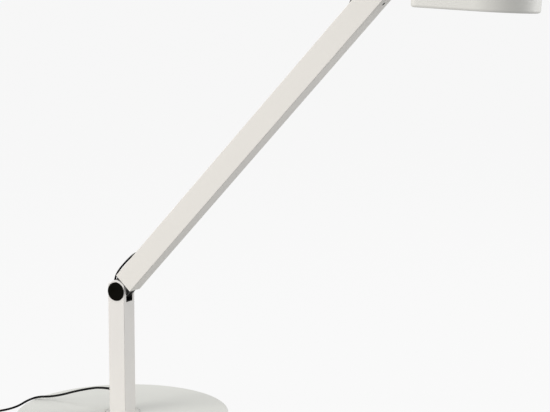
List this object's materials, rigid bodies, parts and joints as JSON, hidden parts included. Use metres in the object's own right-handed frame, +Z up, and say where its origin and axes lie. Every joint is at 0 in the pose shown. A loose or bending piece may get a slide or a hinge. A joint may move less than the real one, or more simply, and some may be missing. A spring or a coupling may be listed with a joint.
{
  "type": "adjustable arm lamp",
  "caption": "Adjustable arm lamp: round weighted base, swivelling square post, one long tilting arm and a D-shaped light head with a push switch.",
  "frame": {"origin": "centre of the base's underside, on the post's swivel axis", "axes": "+Z up along the post, +X the way the arm and the head reach, the supply cord leaves towards -X"},
  "size_m": [0.9146, 0.29, 0.5915],
  "materials": {
    "base_paint": "warm white powder coat, satin",
    "tube_paint": "warm white powder coat, satin",
    "arm_paint": "warm white powder coat, satin",
    "head_paint": "warm white powder coat, satin",
    "pad_felt": "matt",
    "bearing_plastic": "natural",
    "bronze": "turned",
    "steel": "zinc plated",
    "dark_steel": "black oxide",
    "nickel": "nickel plated",
    "cable_black": "matt black sheath",
    "rubber_black": "matt",
    "tie_fabric": "woven",
    "tongue_black": "glass-filled, moulded",
    "cap_plastic": "fine texture",
    "plug_plastic": "spark-eroded texture",
    "opal": "opal",
    "white_plastic": "moulded",
    "board_white": "solder mask",
    "led_yellow": "phosphor",
    "raw_aluminium": "milled",
    "board_green": "solder mask",
    "button_plastic": "moulded"
  },
  "bodies": {
    "base": {"base_plate": "base_paint", "base_pad": "pad_felt", "swivel_bush": "bearing_plastic", "thrust_washer": "bearing_plastic"},
    "post": {"swivel_foot": "base_paint", "swivel_stop_pin": "steel", "swivel_wave_washer": "steel", "swivel_nut": "steel", "foot_screws": "steel", "post_tube": "tube_paint", "post_lead": "cable_black", "cord_gland": "rubber_black", "lower_lead": "cable_black", "supply_cord": "cable_black", "cord_coil": "cable_black", "cord_tail": "cable_black", "cord_tie": "tie_fabric", "plug_relief": "rubber_black", "plug_case": "plug_plastic", "plug_pins": "nickel", "lower_pivot_bolt": "steel", "lower_pivot_nut": "steel", "lower_disc_spring": "steel", "lower_fork_liner": "tongue_black", "lower_cap_front": "cap_plastic", "lower_cap_rear": "cap_plastic"},
    "arm": {"arm_tube": "arm_paint", "arm_end_screws": "dark_steel", "arm_grommets": "rubber_black", "lower_tongue": "tongue_black", "upper_tongue": "tongue_black", "lower_pivot_bush": "bronze", "upper_pivot_bush": "bronze", "arm_lead": "cable_black"},
    "head": {"head_neck": "arm_paint", "neck_screws": "steel", "head_shell": "head_paint", "head_lid": "head_paint", "diffuser": "opal", "light_frame": "white_plastic", "led_board": "board_white", "leds": "led_yellow", "heat_sink": "raw_aluminium", "head_screws": "steel", "control_board": "board_green", "switch_body": "cap_plastic", "button_spring": "steel", "upper_lead": "cable_black", "head_lead": "cable_black", "upper_pivot_bolt": "steel", "upper_pivot_nut": "steel", "upper_disc_spring": "steel", "upper_fork_liner": "tongue_black", "upper_cap_front": "cap_plastic", "upper_cap_rear": "cap_plastic"},
    "button": {"switch_button": "button_plastic"}
  },
  "joints": [
    {"name": "base_swivel", "type": "hinge", "parent": "base", "child": "post", "pos_m": [0, 0, 0.012], "axis": [0, 0, 1], "range_deg": [-170, 170]},
    {"name": "arm_tilt", "type": "hinge", "parent": "post", "child": "arm", "pos_m": [0, 0, 0.176], "axis": [0, -1, 0], "range_deg": [-45, 45], "deforming": ["lower_lead"]},
    {"name": "head_tilt", "type": "hinge", "parent": "arm", "child": "head", "pos_m": [0.3751, 0, 0.57825], "axis": [0, -1, 0], "range_deg": [-40, 60], "deforming": ["upper_lead"]},
    {"name": "switch_press", "type": "slide", "parent": "head", "child": "button", "axis": [-0.0523, 0, -0.9986], "range_m": [0, 0.0015], "stiffness_N_per_m": 600, "springref_m": -0.0005, "deforming": ["button_spring"]}
  ]
}
